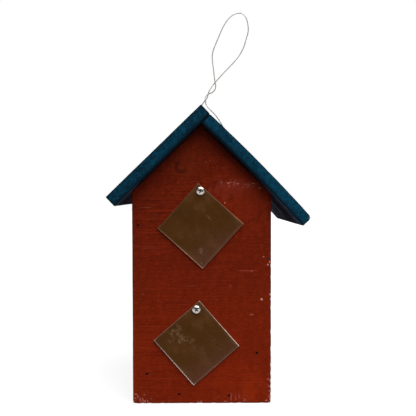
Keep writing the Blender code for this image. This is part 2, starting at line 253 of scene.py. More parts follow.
def joined(masks):
    """The strongest of several masks at each point."""
    total = masks[0]
    for mask in masks[1:]:
        total = total.most(mask)
    return total


# ---------------------------------------------------------------- wood and paint

def growth_rings(board, pith_across, pith_through, spacing):
    """0 to 1 across each year's growth, round a pith that runs along the grain."""
    centred = board.shifted(-pith_across, -pith_through, 0)
    wander = board.noise(22, 22, 5, roughness=0.5)
    turns = centred.scaled(1, 1, 0.04).length() * (1 / spacing) + wander * 3.2
    return turns.math("PINGPONG", 1.0)


def bare_softwood(g, board):
    """Colour of planed pine with its growth rings and fibres."""
    rings = growth_rings(board, 0, -50 * MM, 3.4 * MM)
    fibre = board.noise(1400, 1400, 50, detail=4)
    colour = g.mix(rings.ramp(0.15, 0.9), tone(205, 168, 118), tone(170, 122, 72))
    return g.mix(fibre.ramp(0.42, 0.75, 0, 0.5), colour, tone(120, 82, 48))


def wood_relief(board):
    """Height of fibres and saw marks, from -1 to 1 or so."""
    fibre = board.noise(1500, 1500, 55, detail=4)
    saw = board.noise(14, 14, 720, detail=2, roughness=0.5)
    band = board.noise(6, 6, 150, detail=1, roughness=0.5)
    return fibre * 0.6 + saw * 0.9 + band * 0.8


def worn_mask(board, arris, chip, reach, amount):
    """Where paint has gone: chips, and stretches of the arrises picked out by noise."""
    patch = board.noise(70, 70, 45, detail=4, roughness=0.65)
    fine = board.noise(900, 900, 420)
    width = patch.ramp(0.62 - amount, 0.86 - amount) * reach
    edge = (arris - width * fine).ramp(-0.25 * MM, 0.15 * MM, 1, 0)
    torn = (chip + fine * 0.7).ramp(0.62, 0.85)
    return (edge * width.ramp(0.05 * MM, 0.3 * MM)).most(torn)


FRONT_MARKS = (                     # pale scuffs: X, Z, half width, half height in mm, strength
    (20.2, 227, 2.6, 3.2, 0.08), (27.3, 226.4, 1.3, 0.8, 0.36), (36.5, 225.7, 2.4, 0.8, 0.34),
    (46, 225.2, 5, 0.7, 0.2), (52.8, 225.9, 3, 1, 0.34), (59.4, 221.2, 2, 1, 0.4),
    (23.4, 206.2, 1, 0.8, 0.65), (4.2, 248.1, 1, 0.7, 0.18), (9, 248.8, 0.8, 0.7, 0.18),
    (44, 136.8, 9, 0.5, 0.1), (51.2, 136.4, 2.4, 0.6, 0.34), (50.9, 91.6, 2.6, 0.9, 0.24),
    (29.8, 121.2, 1.6, 2.2, 0.05), (63.2, 151.2, 1, 0.9, 0.45), (67.5, 142.8, 1.3, 1.1, 0.6),
    (-57, 201.9, 9, 0.6, 0.07), (-52, 160.2, 13, 0.5, 0.07), (-11, 121, 9, 0.5, 0.08),
    (-68, 9.6, 2.2, 0.7, 0.45), (-66, 7, 1, 1.8, 0.3), (-63.6, 4, 0.8, 2.6, 0.42),
    (-60.8, 3.4, 0.8, 2.4, 0.5), (-58.6, 2, 1, 1.6, 0.5), (-56, 2.6, 0.7, 2.2, 0.4),
    (-52.6, 4.6, 0.6, 1.6, 0.24), (-4, 1.2, 1, 1.2, 0.36), (-1, 1.4, 0.8, 1.4, 0.4),
    (24, 1.8, 2.4, 0.9, 0.26), (30, 6, 0.6, 5, 0.22), (34.6, 5, 0.6, 4, 0.2),
    (38, 7.5, 0.6, 4, 0.16), (44, 3, 2, 0.8, 0.22), (66.4, 2.6, 1.6, 1.2, 0.35),
    (70, 7, 0.9, 2.4, 0.5), (69.4, 12.6, 0.8, 1.4, 0.44), (70.2, 17.6, 0.7, 1.8, 0.5),
    (69.8, 23.6, 0.8, 1.4, 0.44), (70.4, 31, 0.5, 1.8, 0.34), (70.4, 44, 0.4, 2.4, 0.24),
    (70.5, 74, 0.4, 2.6, 0.22), (70.5, 98, 0.4, 3, 0.2), (70.5, 131, 0.4, 2.4, 0.26),
)
FRONT_STAINS = (                    # the same, and each stain's colour
    (-17, 247, 15, 18, 0.22, tone(104, 40, 14)), (49, 11, 7, 13, 0.20, tone(150, 46, 8)),
    (50, 14, 11, 20, 0.20, tone(150, 44, 8)), (36, 24, 30, 22, 0.22, tone(140, 38, 7)),
    (28, 221, 20, 12, 0.09, tone(160, 74, 66)), (40, 224, 24, 5, 0.09, tone(170, 84, 74)),
    (46, 222, 34, 44, 0.40, tone(132, 38, 12)), (69.3, 145.8, 1.2, 1.5, 0.75, tone(226, 96, 44)),
    (46, 136.7, 12, 0.9, 0.35, tone(156, 44, 32)), (-47.3, 193, 1.2, 3.0, 0.28, tone(50, 42, 56)),
)
FRONT_FLECKED = (                   # the same, for areas with fine pale flecks
    (40, 225, 26, 6, 0.55), (-62, 4, 11, 8, 0.8), (32, 5, 22, 7, 0.35), (69, 14, 3.5, 18, 0.85),
    (-1, 2, 6, 2.5, 0.5),
)
EDGE_NICK = (68.6, 148.8, 3.4, 1.2)


def front_marks(place, fine):
    """Pale scuffs, specks and scratches on the front face, each a soft ellipse."""
    ragged = fine.ramp(0.3, 0.7, -0.25, 0.55)
    marks = joined([place.spot(*mark, ragged) * strength for *mark, strength in FRONT_MARKS])
    return marks * place.part(1).ramp(FRONT_Y + 0.8 * MM, FRONT_Y + 1.6 * MM, 1, 0)


def front_knot(place, wander):
    """A dark open ring round a small knot, with a short dark stroke above it."""
    knot_x, knot_z, radius = -20.6 * MM, 242.9 * MM, 4.4 * MM
    near = place.shifted(-knot_x, 0, -knot_z).scaled(1, 0, 1.05)
    reach = near.length() + wander * (2.2 * MM)
    ring = abs(reach - (radius + 1.1 * MM)).ramp(0, 3.2 * MM, 1, 0)
    opening = (near.part(0) + near.part(2) * 0.9).ramp(0.5 * MM, 4 * MM, 1, 0.15)
    stroke = place.spot(-22.9, 255.5, 1.3, 5.5, wander * 0.6)
    return (ring * opening).most(stroke * 0.5)


def lay_front_features(g, board, place, fine):
    """The front panel's own stains, knot, nick and scuffs, over its paint."""
    wander = board.noise(210, 210, 170, roughness=0.5) - 0.5
    for *area, strength, stain in FRONT_STAINS:
        g.lay(place.spot(*area, wander * 2.4) * strength, stain)
    flecks = board.cells(260, 420, 520).ramp(0.16, 0.46, 1, 0)
    flecks = flecks * fine.ramp(0.46, 0.58) * wander.ramp(-0.06, 0.1)
    for *area, strength in FRONT_FLECKED:
        g.lay(place.spot(*area, wander) * flecks * strength, tone(214, 146, 134))
    g.lay(front_knot(place, wander) * 0.5, tone(34, 8, 8))
    g.lay(front_marks(place, fine), tone(214, 138, 124))
    g.lay(place.spot(*EDGE_NICK, wander * 1.5) * 0.8, tone(38, 34, 44))


def red_paint(name, front=False):
    g = material_graph(name)
    board = g.vector("board")
    place = g.vector("place")
    arris = g.number("arris")
    across = place.part(0)
    high = place.part(2)
    broad = board.noise(26, 26, 11, roughness=0.55)
    mottle = board.noise(240, 240, 150)
    streak = board.noise(330, 330, 14)
    lines = board.noise(12, 12, 900, detail=2)
    line_field = board.noise(20, 20, 40, detail=2, roughness=0.5)
    fine = board.noise(1100, 1100, 900)
    grain = board.noise(190, 460, 640, roughness=0.7)

    # Painted shade: darker under the eaves, lighter towards the foot and the right
    painted_shade_fall = high * -1 + across * 0.35
    g.colour = g.mix(painted_shade_fall.ramp(*PAINTED_SHADE_REACH), RED_PAINTED_SHADE, RED_PAINTED_LIGHT)
    g.lay(broad.ramp(0.32, 0.68, 0.22, 0), tone(76, 16, 6))
    g.lay(mottle.ramp(0.35, 0.7, 0, 0.22), tone(138, 40, 13))
    g.lay(streak.ramp(0.5, 0.8, 0, 0.2), tone(66, 13, 6))
    side_bias = across.ramp(-50 * MM, 60 * MM, 1, 0.4) if front else 0.7
    ruled = line_field.ramp(0.3, 0.55) * side_bias * 0.5
    g.lay(lines.ramp(0.5, 0.72) * ruled, tone(66, 14, 7))
    g.lay(lines.ramp(0.48, 0.3) * ruled, tone(138, 42, 17))
    g.lay(grain.ramp(0.5, 0.72, 0, 0.32), tone(76, 17, 7))
    g.lay(grain.ramp(0.48, 0.32, 0, 0.4), tone(146, 44, 16))

    # A purplish line where the paint is thin along every arris, and its chips
    thin = (arris + mottle * (1.2 * MM)).ramp(0.9 * MM, 2.0 * MM, 1, 0)
    g.lay(thin * across.ramp(0, 60 * MM, 0.05, 0.45), tone(84, 20, 26))
    wear = worn_mask(board, arris, g.number("chip"), 1.6 * MM, -0.02)
    wear = wear * high.ramp(30 * MM, 10 * MM, 0.55, 1)
    if front:
        lay_front_features(g, board, place, fine)
    under_paint = g.mix(fine.ramp(0.35, 0.65), tone(160, 96, 84), tone(214, 168, 154))
    g.lay(wear * 0.85, under_paint)
    exposed = (g.number("depth") + mottle * (5 * MM)).ramp(4.2 * MM, 5.2 * MM)
    g.lay(exposed, bare_softwood(g, board))

    height = wood_relief(board) + wear * -0.8 + fine * 0.25
    rough = (mottle + wear).ramp(0.3, 1.2, 0.5, 0.85)
    return g.finish(rough, height, 0.16 * MM, specular=0.03)


def blue_paint(name, lift):
    """Roof paint. Its end grain is blotched, and lifts towards the eave by the given amount."""
    g = material_graph(name)
    board = g.vector("board")
    arris = g.number("arris")
    rise = g.number("rise")
    end = g.number("end")
    down_slope = board.part(0)
    broad = board.noise(45, 45, 18)
    blotch = board.noise(150, 150, 60, detail=4, roughness=0.62, distortion=0.4)
    streak = board.noise(420, 420, 16)
    fine = board.noise(1200, 1200, 1000)
    speckle = board.noise(640, 640, 340, detail=4, roughness=0.7)
    rings = growth_rings(board, 60 * MM, 95 * MM, 2.6 * MM)

    g.colour = g.mix(broad.ramp(0.3, 0.7), tone(6, 42, 58), tone(5, 52, 72))
    g.lay(streak.ramp(0.48, 0.78, 0, 0.4), tone(5, 26, 40))
    g.lay(blotch.ramp(0.44, 0.66) * (end * 0.55 + 0.2), tone(5, 22, 33))
    g.lay(down_slope.ramp(10 * MM, 110 * MM, lift / 2, lift) * end, tone(5, 66, 90))
    g.lay(blotch.ramp(0.46, 0.3) * 0.6, tone(3, 74, 100))
    coarse_end = end * 0.65 + 0.35
    g.lay(speckle.ramp(0.46, 0.66, 0, 0.6) * coarse_end, tone(4, 20, 30))
    g.lay(speckle.ramp(0.49, 0.36, 0, 0.55) * coarse_end, tone(6, 80, 106))
    g.lay(rings.ramp(0.75, 1.0) * (end * 0.25), tone(4, 18, 28))

    # Painted shade: dark along the foot of the end grain and every arris; grey underneath
    painted_foot_shade = (rise + blotch * (2.4 * MM)).ramp(6.4 * MM, 1.8 * MM, 0, 0.82)
    g.lay(painted_foot_shade * end, tone(5, 16, 25))
    g.lay(arris.ramp(2.0 * MM, 0.6 * MM, 0, 0.75), tone(4, 20, 30))
    grey = g.mix(broad.ramp(0.35, 0.7), tone(78, 88, 110), tone(98, 110, 132))
    grey = g.mix(streak.ramp(0.5, 0.8, 0, 0.5), grey, tone(56, 62, 76))
    # Painted shade: the underside is darker inward of the side walls, where the house keeps light off
    grey = g.mix(down_slope.ramp(82 * MM, 103 * MM, 0.8, 0), grey, tone(30, 26, 32))
    g.lay(rise.ramp(0.6 * MM, 0), grey)
    wear = worn_mask(board, arris, g.number("chip"), 1.0 * MM, -0.16)
    g.lay(wear * 0.7, g.mix(fine.ramp(0.35, 0.65), tone(96, 112, 116), tone(176, 180, 174)))
    exposed = (g.number("depth") + blotch * (3 * MM)).ramp(3.4 * MM, 4.2 * MM)
    g.lay(exposed, bare_softwood(g, board))

    height = wood_relief(board) + rings * end * 0.5 + blotch * end * 1.2
    rough = (blotch + wear * 0.5).ramp(0.3, 1.0, 0.45, 0.8)
    return g.finish(rough, height, 0.16 * MM, specular=rise.ramp(0, 1.0 * MM, 0, 0.03))


def plain_softwood(name):
    g = material_graph(name)
    board = g.vector("board")
    g.colour = bare_softwood(g, board)
    g.lay(g.number("arris").ramp(0.2 * MM, 2.5 * MM, 0.35, 0), tone(110, 76, 46))
    rough = board.noise(300, 300, 60, detail=2, roughness=0.5).ramp(0.3, 0.7, 0.6, 0.85)
    return g.finish(rough, wood_relief(board), 0.2 * MM, specular=0.25)


# ---------------------------------------------------------------- metals

# Smears as each plate hangs: X, Z from its middle, half width, half height in mm, strength
UPPER_SMEARS = ((8.6, 8.6, 1.0, 3.4, 0.35), (1.2, -25.0, 3.2, 3.0, 0.3), (1.0, -37.3, 0.9, 1.8, 0.9))
LOWER_SMEARS = (
    (-24.5, 10.5, 4.0, 3.2, 0.28), (-18.5, 15.5, 2.4, 4.2, 0.24), (-19.0, 9.0, 2.4, 4.8, 0.34),
    (-14.5, 5.0, 4.0, 3.0, 0.36), (-9.0, 5.0, 5.0, 2.2, 0.26), (-4.0, 2.8, 3.2, 1.8, 0.26),
    (-26.0, 1.5, 3.0, 2.4, 0.14), (4.0, -8.0, 4.0, 5.0, 0.08), (20.0, -2.0, 5.0, 7.0, 0.06),
)

def brown_plate(name, lean, smears, edge_wear_and_highlight):
    """Glossy brown coating. Its sides run along the plate's own X and Z."""
    g = material_graph(name)
    plate = g.vector("board")
    arris = g.number("arris")
    along_side = plate.part(0)
    up_side = plate.part(2)
    cloud = plate.noise(60, 60, 60, detail=4)
    grit = plate.noise(700, 700, 700, detail=4, roughness=0.7)
    wander = plate.noise(260, 260, 260, roughness=0.5) - 0.5

    # Warmer and paler towards the lower right as the plate hangs: a painted reflection
    turn = COVER_CORNER_UP + lean
    low_end = along_side * cos(turn) + up_side * -sin(turn)
    drop = along_side * -sin(turn) + up_side * -cos(turn)
    towards = low_end * 0.6 + drop
    painted_reflection = (towards + wander * (30 * MM)).ramp(5 * MM, 50 * MM)
    g.colour = g.mix(painted_reflection, tone(72, 43, 13), tone(84, 50, 38))
    g.lay(cloud.ramp(0.48, 0.7, 0, 0.5), tone(92, 60, 34))
    g.lay(cloud.ramp(0.45, 0.3, 0, 0.5), tone(58, 34, 8))
    # Painted reflection: a paler band inside the arrises, stronger towards the lower right
    border_reflection = (arris + wander * (1.8 * MM)).ramp(1.8 * MM, 4.2 * MM, 1, 0)
    g.lay(border_reflection * towards.ramp(-10 * MM, 20 * MM, 0.1, 0.3), tone(104, 70, 52))
    g.lay(abs(arris - 3.1 * MM).ramp(0.1 * MM, 0.5 * MM, 0.3, 0), tone(44, 26, 12))
    specks = plate.cells(330, 330, 330).ramp(0.05, 0.16, 1, 0) * grit.ramp(0.5, 0.62)
    g.lay(specks * 0.45, tone(140, 110, 88))

    # Smears are given as the plate hangs
    smeared = []
    for x, z, half_x, half_z, strength in smears:
        near_x = x * cos(turn) + z * sin(turn)
        near_z = z * cos(turn) - x * sin(turn)
        smeared.append(plate.spot(near_x, near_z, half_x, half_z, wander * 4.5) * strength)
    smeared = joined(smeared) * grit.ramp(0.4, 0.6)
    g.lay(smeared, tone(150, 118, 92))

    # Bright line along the arrises, partly coating worn to bare metal and partly a painted highlight,
    # most on the two sides that face sideways
    widened = along_side.ramp(-29 * MM, -25 * MM, -0.4 * MM, 0)
    worn = (arris + widened + grit * (0.5 * MM)).ramp(0.45 * MM, 0.85 * MM, 1, 0)
    lit_side = abs(along_side).ramp(COVER_SIDE / 2 - 2 * MM, COVER_SIDE / 2 - 0.8 * MM, 0.3, 0.85)
    lit_side = lit_side * towards.ramp(-28 * MM, 20 * MM, 0.4, 1.1)
    g.lay(worn * lit_side, edge_wear_and_highlight)
    rough = (grit + smeared).ramp(0.3, 1.0, 0.25, 0.5)
    return g.finish(rough, grit * 0.4 + cloud * 2.0, 0.05 * MM, specular=0.04)


def plated_metal(name, light, dark, stain, rough_low, rough_high, dirt=0.6, relief=0.02):
    """Plated or bare metal with dull patches, fine scratches and dirt in its hollows."""
    g = material_graph(name)
    place = g.vector("board")
    patch = place.noise(420, 420, 420, detail=4)
    scratch = place.noise(5200, 700, 5200)
    g.colour = g.mix(patch.ramp(0.35, 0.7), tone(*light), tone(*dark))
    g.lay(scratch.ramp(0.55, 0.8, 0, 0.4), tone(*stain))
    g.lay(g.number("depth").ramp(0.15 * MM, 0.9 * MM) * dirt, tone(26, 22, 19))
    rough = (patch * 0.7 + scratch * 0.3).ramp(0.3, 0.7, rough_low, rough_high)
    return g.finish(rough, patch + scratch, relief * MM, metallic=1.0)


# ---------------------------------------------------------------- mesh helpers

def smooth_noise(points, stretch, seed):
    """Noise from about -1 to 1 at each point, whose coordinates are scaled by stretch first."""
    offset = Vector((seed * 7.31, seed * 3.17, seed * 5.71))
    values = []
    for point in points * np.array(stretch):
        values.append(noise.noise(Vector(point) + offset))
    return np.array(values)


def nodes(low, high, radius, fine, band, coarse):
    """Grid positions from low to high: close along the rounded arris and in a band beside it."""
    arc = radius * (1 - tan(radians(22.5)))
    start = [0, arc, radius]
    steps = max(1, round((band - radius) / fine))
    for i in range(1, steps + 1):
        start.append(radius + (band - radius) * i / steps)
    inner = high - low - 2 * start[-1]
    count = max(1, round(inner / coarse))
    middle = [low + start[-1] + inner * i / count for i in range(1, count)]
    return [low + s for s in start] + middle + [high - s for s in reversed(start)]


def box_grid(grids):
    """Points and quads of the closed grid over the six faces of a box."""
    index = {}
    points = []
    quads = []

    def corner(key):
        if key not in index:
            index[key] = len(points)
            points.append([grid[i] for grid, i in zip(grids, key)])
        return index[key]

    for axis in range(3):
        a, b = (axis + 1) % 3, (axis + 2) % 3
        for side in (0, len(grids[axis]) - 1):
            for i in range(len(grids[a]) - 1):
                for j in range(len(grids[b]) - 1):
                    quad = []
                    for di, dj in ((0, 0), (1, 0), (1, 1), (0, 1)):
                        key = [0, 0, 0]
                        key[axis], key[a], key[b] = side, i + di, j + dj
                        quad.append(corner(tuple(key)))
                    quads.append(quad if side else quad[::-1])
    return np.array(points), quads


def round_off(points, low, high, radius):
    """Points of a box's surface moved onto its rounded arrises, and their normals."""
    core = np.clip(points, low + radius, high - radius)
    out = points - core
    out /= np.linalg.norm(out, axis=1)[:, None]
    return core + out * radius, out


def make_object(name, points, faces, material, sharp=40):
    mesh = bpy.data.meshes.new(name)
    mesh.from_pydata([tuple(p) for p in points], [], faces)
    bm = bmesh.new()
    bm.from_mesh(mesh)
    bmesh.ops.recalc_face_normals(bm, faces=bm.faces)
    bm.to_mesh(mesh)
    bm.free()
    item = bpy.data.objects.new(name, mesh)
    bpy.context.scene.collection.objects.link(item)
    mesh.materials.append(material)
    shade(mesh, sharp)
    return item


def shade(mesh, sharp):
    mesh.shade_smooth()
    mesh.set_sharp_from_angle(angle=radians(sharp))


def turned(profile, place, segments, bend=None):
    """Points and faces of a closed turned solid whose (radius, height) profile ends on its axis."""
    points = []
    faces = []
    rings = []
    for radius, height in profile:
        count = 1 if radius == 0 else segments
        ring = []
        for i in range(count):
            angle = 2 * pi * i / segments
            reach = radius + (bend(height, angle) if bend and radius else 0)
            spot = Vector((reach * cos(angle), reach * sin(angle), height))
            ring.append(len(points))
            points.append(place @ spot)
        rings.append(ring)
    for first, second in zip(rings, rings[1:]):
        for i in range(segments):
            j = (i + 1) % segments
            face = [first[i % len(first)], first[j % len(first)]]
            face += [second[j % len(second)], second[i % len(second)]]
            faces.append(list(dict.fromkeys(face)))
    return points, faces


def skinned(rings):
    """Points and faces of a closed solid through rings of points that match one to one."""
    points = [point for ring in rings for point in ring]
    count = len(rings[0])
    last = len(points) - count
    faces = [list(range(count)), list(range(last, last + count))[::-1]]
    for start in range(0, last, count):
        for i in range(count):
            a, b = start + i, start + (i + 1) % count
            faces.append([a, b, b + count, a + count])
    return points, faces


def along(start, direction):
    """Placement whose local +Z points along a direction from a start point."""
    turn = Vector(direction).to_track_quat("Z", "Y").to_matrix().to_4x4()
    return Matrix.Translation(start) @ turn


def axis_of(node):
    """Head end, direction and length of a packed nail or screw, whose tip is its furthest point."""
    spots = [v.co.copy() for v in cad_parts[node].data.vertices]
    middle = sum(spots, Vector()) / len(spots)
    tip = max(spots, key=lambda s: (s - middle).length)
    direction = (tip - middle).normalized()
    length = max((tip - s).dot(direction) for s in spots)
    return tip - direction * length, direction, length


def cut(item, cutters):
    """Takes the joined cutters out of a mesh object."""
    points = []
    faces = []
    for spots, corners in cutters:
        faces += [[len(points) + c for c in face] for face in corners]
        points += spots
    cutter = make_object("cutter", points, faces, item.data.materials[0])
    boolean = item.modifiers.new("bores", "BOOLEAN")
    boolean.operation = "DIFFERENCE"
    boolean.solver = "EXACT"
    boolean.object = cutter
    bpy.context.view_layer.update()
    drawn = item.evaluated_get(bpy.context.evaluated_depsgraph_get())
    mesh = bpy.data.meshes.new_from_object(drawn)
    item.modifiers.clear()
    item.data = mesh
    bpy.data.objects.remove(cutter)
    shade(mesh, 40)


def store(item, name, values):
    """Writes one number or one vector for each vertex, for the material to read."""
    values = np.asarray(values, np.float32)
    kind = "FLOAT_VECTOR" if values.ndim == 2 else "FLOAT"
    layer = item.data.attributes.new(name, kind, "POINT")
    layer.data.foreach_set("vector" if values.ndim == 2 else "value", values.ravel())


def vertices(item):
    spots = np.zeros(len(item.data.vertices) * 3)
    item.data.vertices.foreach_get("co", spots)
    return spots.reshape(-1, 3)


def show(item, body, slot, node, **layers):
    """Stores the layers that the piece's material reads, and puts it in its node's place."""
    for name, values in layers.items():
        store(item, name, values)
    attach(item, body)
    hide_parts(node)


# ---------------------------------------------------------------- flat coordinates to the frame

def under_roof(x):
    """Height of a gable's or side's top just under the roof boards, for an array of X."""
    left = PEAK_Z - (PEAK_X - x) * tan(LEFT_PITCH) - GAP / cos(LEFT_PITCH)
    right = PEAK_Z - (x - PEAK_X) * tan(RIGHT_PITCH) - GAP / cos(RIGHT_PITCH)
    return np.where(x < PEAK_X, left, right)


def columns(p, y, q):
    return np.stack((p, y, q), axis=1)


def place_wall(flat):
    p, y, q = flat.T
    return columns(p, y, q / PEAK_TOP * under_roof(p))


def unplace_wall(spots):
    x, y, z = spots.T
    return columns(x, y, z * PEAK_TOP / under_roof(x))


def place_left(flat):
    p, y, q = flat.T
    x = PEAK_X - p * cos(LEFT_PITCH) - q * sin(LEFT_PITCH)
    z = PEAK_Z - p * sin(LEFT_PITCH) + q * cos(LEFT_PITCH)
    return columns(x, y, z)


def unplace_left(spots):
    x, y, z = spots.T
    p = -(x - PEAK_X) * cos(LEFT_PITCH) - (z - PEAK_Z) * sin(LEFT_PITCH)
    q = -(x - PEAK_X) * sin(LEFT_PITCH) + (z - PEAK_Z) * cos(LEFT_PITCH)
    return columns(p, y, q)


CUP_X = PEAK_X - CUP_RADIUS * sin(RIGHT_START_ANGLE)
CUP_Z = PEAK_Z - CUP_RADIUS * cos(RIGHT_START_ANGLE)


def right_start(q):
    """Where the right board's end face stands just clear of the left board, at a height q."""
    return (GAP + q * cos(RIDGE_ANGLE)) / sin(RIDGE_ANGLE)


def place_right(flat):
    p, y, q = flat.T
    start = right_start(q)
    run = start + (RIGHT_RUN - start) * p / RIGHT_RUN
    angle = RIGHT_START_ANGLE + run / CUP_RADIUS
    reach = CUP_RADIUS + q
    return columns(CUP_X + reach * np.sin(angle), y, CUP_Z + reach * np.cos(angle))


def unplace_right(spots):
    x, y, z = spots.T
    q = np.hypot(x - CUP_X, z - CUP_Z) - CUP_RADIUS
    run = (np.arctan2(x - CUP_X, z - CUP_Z) - RIGHT_START_ANGLE) * CUP_RADIUS
    start = right_start(q)
    return columns((run - start) * RIGHT_RUN / (RIGHT_RUN - start), y, q)


def same(spots):
    return spots


# ---------------------------------------------------------------- boards

class Board:
    """A board's box in flat coordinates, its way into the frame, and which way its grain runs."""

    def __init__(self, name, low, high, place, unplace, grain, painted, seed):
        self.name = name
        self.low = np.array(low)
        self.high = np.array(high)
        self.place = place
        self.unplace = unplace
        self.grain = grain              # flat axes that are across, through and along the grain
        self.painted = painted          # painted faces: (axis, side) with side 0 low and 1 high
        self.seed = seed
        self.chips = []

    def add_chip(self, centre, half, depth):
        """One chip, with its half size along each flat axis and its depth in mm."""
        self.chips.append((np.array(centre), np.array(half) * MM, depth * MM))

    def add_chips(self, edges, count, size, depth):
        """Random chips along edges, each a point and the axis that the edge runs along."""
        draw = random.Random(self.seed)
        for _ in range(count):
            corner, axis = draw.choice(edges)
            centre = np.array(corner, float)
            centre[axis] = draw.uniform(self.low[axis], self.high[axis])
            half = np.full(3, draw.uniform(0.5, 1.0) * size * 0.5)
            half[axis] = draw.uniform(0.6, 2.2) * size
            self.chips.append((centre, half, draw.uniform(0.4, 1.0) * depth))

    def chipped(self, flat):
        """Depth of the chips at each point, in metres."""
        total = np.zeros(len(flat))
        rough = smooth_noise(flat, (900, 900, 900), self.seed + 5)
        for centre, half, depth in self.chips:
            reach = np.linalg.norm((flat - centre) / half, axis=1) + 0.35 * rough
            total = np.maximum(total, depth * np.clip(1.3 - reach, 0, 0.8) / 0.8)
        return total

    def arris(self, flat):
        """Distance from each surface point to the nearest arris."""
        sides = np.abs(np.concatenate((flat - self.low, self.high - flat), axis=1))
        nearest = np.minimum(sides[:, :3], sides[:, 3:])
        return np.sort(nearest, axis=1)[:, 1]

    def paint_depth(self, flat):
        """Distance below the nearest painted face."""
        total = np.full(len(flat), 0.1)
        for axis, side in self.painted:
            face = self.high[axis] if side else self.low[axis]
            total = np.minimum(total, np.abs(flat[:, axis] - face))
        return total

    def relief(self, flat, wave, saw, wear):
        """Height of the worn surface above the clean box, in metres, mostly below it."""
        slow = smooth_noise(flat, (18, 18, 18), self.seed) * wave
        stretch = [16, 16, 16]
        stretch[self.grain[2]] = 190
        ridges = smooth_noise(flat, stretch, self.seed + 1)
        nibble = smooth_noise(flat, (160, 160, 160), self.seed + 2)
        tiny = smooth_noise(flat, (700, 700, 700), self.seed + 3)
        arris = self.arris(flat)
        edge = np.exp(-arris / (0.9 * MM)) * wear * (0.35 + np.clip(nibble, 0, 1) * 1.6 + 0.3 * tiny)
        return slow + saw * (ridges - 0.6) - edge - self.chipped(flat)

    def grids(self, radius, *spacings):
        """Grid positions along each flat axis, from its fine step, band and coarse step in mm."""
        grids = []
        for low, high, spacing in zip(self.low.tolist(), self.high.tolist(), spacings):
            grids.append(nodes(low, high, radius, *(s * MM for s in spacing)))
        return grids

    def build(self, grids, radius, material, cutters, wave, saw, wear):
        """The finished board. Its wave, saw marks and worn arrises are given in mm."""
        points, quads = box_grid(grids)
        points, out = round_off(points, self.low, self.high, radius)
        relief = self.relief(points, wave * MM, saw * MM, wear * MM)
        points = points + out * relief[:, None]
        item = make_object(self.name + "_worn", self.place(points), quads, material)
        if cutters:
            cut(item, cutters)
        spots = vertices(item)
        flat = self.unplace(spots)
        along_board = flat.copy() if self.place in (place_left, place_right) else spots
        store(item, "board", along_board[:, self.grain] + (0, 0, self.seed * 0.37))
        store(item, "place", spots)
        store(item, "arris", self.arris(flat))
        store(item, "chip", np.clip(self.chipped(flat) / (0.6 * MM), 0, 1))
        store(item, "depth", self.paint_depth(flat))
        return item, flat


# ---------------------------------------------------------------- the object's pieces

NAILS = sorted(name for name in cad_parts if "_nail_" in name)
SCREWS = ("upper_screw", "lower_screw")


def pierced(nail, head):
    """The two boards that a nail joins."""
    if nail.startswith("ridge"):
        return "roof_left", "roof_right"
    if nail.startswith("roof"):
        roof = "roof_left" if "left" in nail else "roof_right"
        return roof, "front_panel" if head.y < 0 else "back_panel"
    if nail.startswith(("left", "right")):
        side = nail.split("_")[0] + "_side"
        return side, "floor_board" if head.z < 50 * MM else "room_divider"
    panel = "front_panel" if head.y < 0 else "back_panel"
    if abs(head.x) < HALF_WIDTH / 2:
        return panel, "floor_board"
    return panel, "left_side" if head.x < 0 else "right_side"


def nail_bore(head, direction, length):
    """A clean bore with a slightly torn mouth, from outside the board down past the tip."""
    mouth = NAIL_HEAD_RADIUS + 0.12 * MM
    bore = NAIL_RADIUS + 0.25 * MM
    lead = 3 * MM
    profile = [(0, -lead), (mouth + 0.2 * MM, -lead), (mouth + 0.1 * MM, -0.9 * MM)]
    profile += [(mouth, -0.5 * MM), (mouth, GAP), (bore, 1.2 * MM)]
    profile += [(bore, length), (0, length + 0.2 * MM)]
    return turned(profile, along(head, direction), 16)


def entrance_bore(centre):
    """A round entrance with eased rims, through the front panel."""
    rim = 0.9 * MM
    lead = 2 * MM
    depth = PANEL_HIGH.y - PANEL_LOW.y
    radius = ENTRANCE_RADIUS
    mouth = [(0, -lead), (radius + rim, -lead), (radius + rim, 0)]
    mouth += [(radius + 0.3 * rim, 0.3 * rim), (radius, rim)]
    profile = mouth + [(radius, depth / 2)] + [(r, depth - h) for r, h in reversed(mouth)]
    return turned(profile, along((centre.x, FRONT_Y, centre.z), (0, 1, 0)), 56)


def gather_cutters():
    """Every bore, listed under the board that it is cut from."""
    cutters = {}
    for nail in NAILS:
        head, direction, length = axis_of(nail)
        for board in pierced(nail, head):
            cutters.setdefault(board, []).append(nail_bore(head, direction, length))
    for screw in SCREWS:
        head, direction, length = axis_of(screw)
        radius = SCREW_RADIUS + GAP
        bore = [(0, 0), (radius, 0), (radius, length), (0, length)]
        cutters["front_panel"].append(turned(bore, along(head, direction), 24))
    for cover in COVER_LEAN:
        low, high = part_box(cover)
        cutters["front_panel"].append(entrance_bore((low + high) / 2))
    for sign, board in ((-1, "roof_left"), (1, "roof_right")):
        low_end, high_end = WIRE_BORE_ENDS
        radius = WIRE_BORE_RADIUS
        bore = [(0, low_end), (radius, low_end), (radius, high_end), (0, high_end)]
        place = Matrix.Translation((sign * WIRE_BORE_X, 0, 0))
        cutters[board].append(turned(bore, place, 16))
    return cutters


